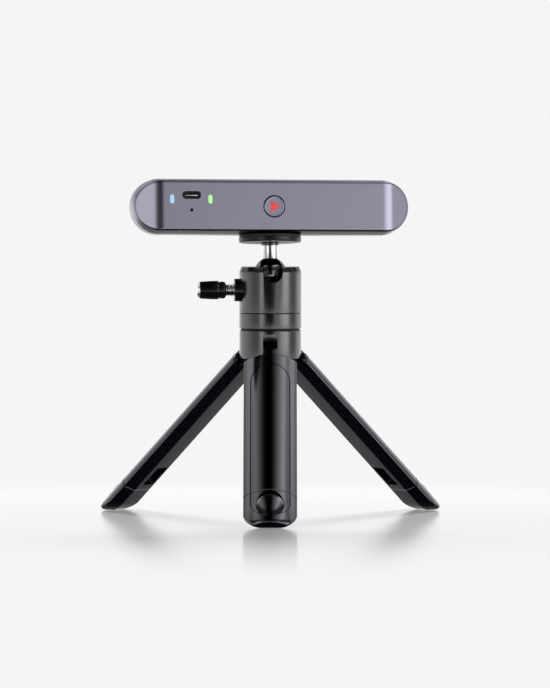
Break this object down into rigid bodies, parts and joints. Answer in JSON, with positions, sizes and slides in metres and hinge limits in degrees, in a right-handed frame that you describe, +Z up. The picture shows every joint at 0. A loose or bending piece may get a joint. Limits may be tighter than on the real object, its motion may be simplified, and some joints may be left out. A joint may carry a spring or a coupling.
{
  "type": "tripod-mounted bar 3d scanner",
  "caption": "Bar-shaped grey metal 3D scanner with rear port, lights and round button, held by a ball head on a black folding mini tripod with telescoping legs.",
  "frame": {"origin": "on the floor under the tripod's own axis", "axes": "+Z up along the tripod's axis; the scanner's rear face with its controls looks towards -Y, turned 12 degrees; +X is to the right seen from behind the scanner"},
  "size_m": [0.2356, 0.2052, 0.2283],
  "materials": {
    "scanner_metal": "bead-blasted grey anodised",
    "frame_metal": "bead-blasted grey anodised",
    "panel_black": "gloss black",
    "gasket": "matt black",
    "bare_aluminium": "milled",
    "steel": "turned",
    "circuit_board": "green solder mask",
    "camera_housing": "matt black",
    "lens_glass": null,
    "lamp_yellow": "phosphor",
    "switch_black": "moulded",
    "blue_light": "lit diffuser",
    "green_light": "lit diffuser",
    "play_red": "moulded",
    "brass": "turned",
    "tripod_black": "gloss black",
    "head_black": "gloss black anodised",
    "pad_rubber": "matt black",
    "chrome": "polished",
    "nylon": "white nylon",
    "knob_rubber": "satin black"
  },
  "bodies": {
    "base": {"leg_base": "head_black", "hinge_pins": "steel", "gap_washer": "gasket", "head_bolt": "steel", "pan_ring": "head_black", "pan_screw": "steel"},
    "head": {"head_housing": "head_black", "knob_boss": "knob_rubber", "ball_seat": "nylon"},
    "knob": {"lock_knob": "knob_rubber", "lock_screw": "steel", "knob_cap": "chrome"},
    "ball": {"ball_stem": "chrome", "stem_collar": "head_black", "top_plate": "head_black", "mount_pad": "pad_rubber", "mount_stud": "steel"},
    "scanner": {"rear_shell": "scanner_metal", "front_frame": "frame_metal", "front_panel": "panel_black", "shell_gasket": "gasket", "mid_frame": "bare_aluminium", "case_screws": "steel", "main_board": "circuit_board", "left_camera": "camera_housing", "right_camera": "camera_housing", "color_camera": "camera_housing", "projector": "camera_housing", "left_lens": "lens_glass", "right_lens": "lens_glass", "color_lens": "lens_glass", "projector_lens": "lens_glass", "fill_lights": "lamp_yellow", "usb_port": "steel", "blue_light": "blue_light", "green_light": "green_light", "power_switch": "switch_black", "reset_switch": "switch_black", "tripod_nut": "brass"},
    "button": {"power_button": "scanner_metal", "play_mark": "play_red"},
    "reset": {"reset_button": "switch_black"},
    "front_leg": {"front_leg": "tripod_black"},
    "front_foot": {"front_slider": "tripod_black", "front_foot": "tripod_black"},
    "front_latch": {"front_latch": "tripod_black"},
    "right_leg": {"right_leg": "tripod_black"},
    "right_foot": {"right_slider": "tripod_black", "right_foot": "tripod_black"},
    "right_latch": {"right_latch": "tripod_black"},
    "left_leg": {"left_leg": "tripod_black"},
    "left_foot": {"left_slider": "tripod_black", "left_foot": "tripod_black"},
    "left_latch": {"left_latch": "tripod_black"}
  },
  "joints": [
    {"name": "head_pan", "type": "hinge", "parent": "base", "child": "head", "pos_m": [0, 0, 0.1375], "axis": [0, 0, 1], "continuous": true},
    {"name": "ball_tilt", "type": "hinge", "parent": "head", "child": "ball", "pos_m": [0, 0, 0.164], "axis": [0.9949, 0.1011, 0], "range_deg": [-26, 88]},
    {"name": "scanner_turn", "type": "hinge", "parent": "ball", "child": "scanner", "pos_m": [-0.00021, 0.00212, 0.18991], "axis": [-0.0083, 0.0815, 0.9966], "continuous": true},
    {"name": "lock_turn", "type": "hinge", "parent": "head", "child": "knob", "pos_m": [-0.03979, -0.00404, 0.1529], "axis": [0.9949, 0.1011, 0], "range_deg": [0, 360]},
    {"name": "button_press", "type": "slide", "parent": "scanner", "child": "button", "axis": [-0.2076, 0.9748, -0.0815], "range_m": [0, 0.0006], "stiffness_N_per_m": 1500, "springref_m": -0.0004},
    {"name": "reset_press", "type": "slide", "parent": "scanner", "child": "reset", "axis": [-0.2076, 0.9748, -0.0815], "range_m": [0, 0.0004], "stiffness_N_per_m": 1000, "springref_m": -0.0004},
    {"name": "front_leg_fold", "type": "hinge", "parent": "base", "child": "front_leg", "pos_m": [0, -0.01575, 0.1124], "axis": [-1, 0, 0], "range_deg": [-45.3, 0]},
    {"name": "front_foot_slide", "type": "slide", "parent": "front_leg", "child": "front_foot", "axis": [0, -0.7108, -0.7034], "range_m": [0, 0.06]},
    {"name": "front_latch_press", "type": "slide", "parent": "front_foot", "child": "front_latch", "axis": [0, 0.7034, -0.7108], "range_m": [0, 0.0012], "stiffness_N_per_m": 800, "springref_m": -0.0006},
    {"name": "right_leg_fold", "type": "hinge", "parent": "base", "child": "right_leg", "pos_m": [0.01364, 0.00788, 0.1124], "axis": [0.5, -0.866, 0], "range_deg": [-45.3, 0]},
    {"name": "right_foot_slide", "type": "slide", "parent": "right_leg", "child": "right_foot", "axis": [0.6156, 0.3554, -0.7034], "range_m": [0, 0.06]},
    {"name": "right_latch_press", "type": "slide", "parent": "right_foot", "child": "right_latch", "axis": [-0.6092, -0.3517, -0.7108], "range_m": [0, 0.0012], "stiffness_N_per_m": 800, "springref_m": -0.0006},
    {"name": "left_leg_fold", "type": "hinge", "parent": "base", "child": "left_leg", "pos_m": [-0.01364, 0.00788, 0.1124], "axis": [0.5, 0.866, 0], "range_deg": [-45.3, 0]},
    {"name": "left_foot_slide", "type": "slide", "parent": "left_leg", "child": "left_foot", "axis": [-0.6156, 0.3554, -0.7034], "range_m": [0, 0.06]},
    {"name": "left_latch_press", "type": "slide", "parent": "left_foot", "child": "left_latch", "axis": [0.6092, -0.3517, -0.7108], "range_m": [0, 0.0012], "stiffness_N_per_m": 800, "springref_m": -0.0006}
  ]
}
